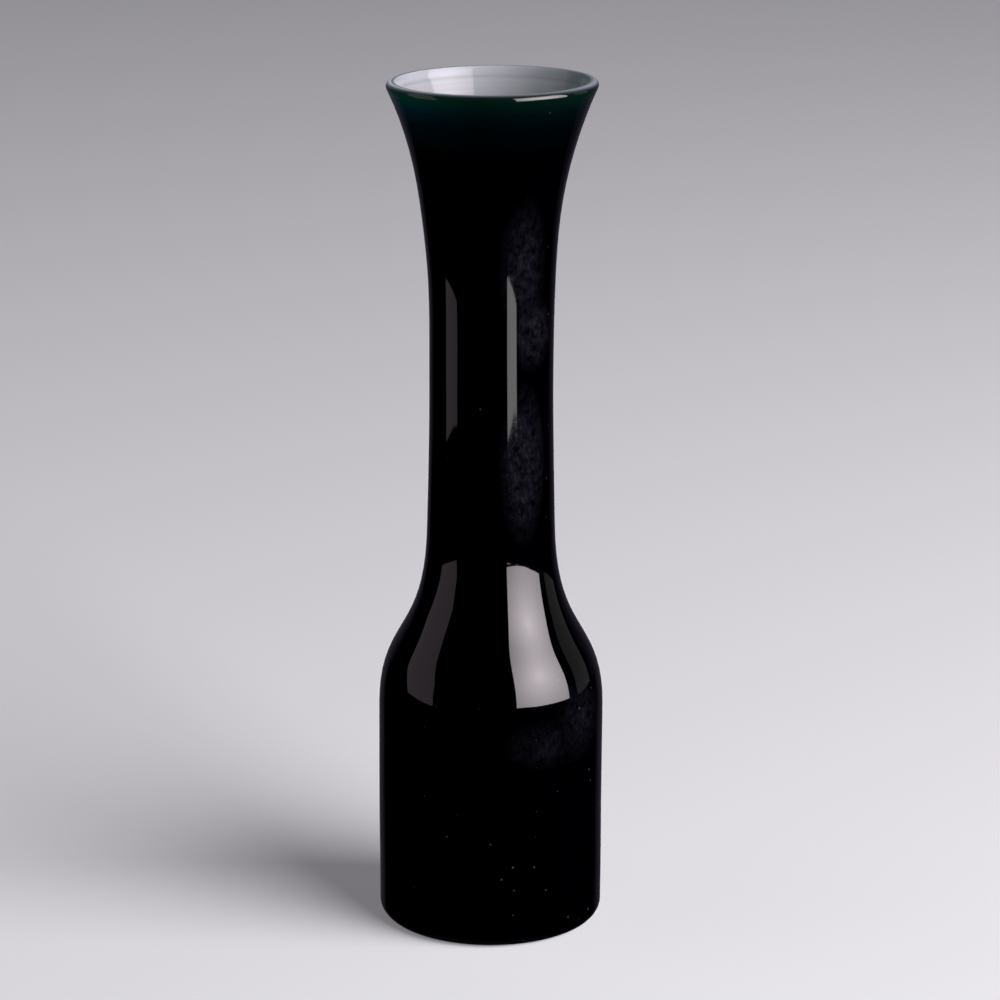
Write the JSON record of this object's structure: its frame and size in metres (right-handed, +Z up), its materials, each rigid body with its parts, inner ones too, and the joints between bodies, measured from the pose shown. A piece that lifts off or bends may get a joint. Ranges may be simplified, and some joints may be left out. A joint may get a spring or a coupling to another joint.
{
  "type": "bud vase",
  "caption": "Tall bottle-shaped bud vase in cased glass: straight round body, narrow neck, trumpet mouth, dark green outside and opal white inside.",
  "frame": {"origin": "centre of the base, on the plane it stands on", "axes": "+Z up along the vase's axis of turning; X and Y are equivalent, because the vase is round"},
  "size_m": [0.0395, 0.0394, 0.15],
  "materials": {
    "dark_green_glass": "blown and fire polished, very dark green, almost black where thick, clear green at the thin lip",
    "opal_glass": "blown opal white glass, glossy, cool milky white"
  },
  "bodies": {
    "root": {"dark_casing": "dark_green_glass", "opal_lining": "opal_glass"}
  },
  "joints": []
}
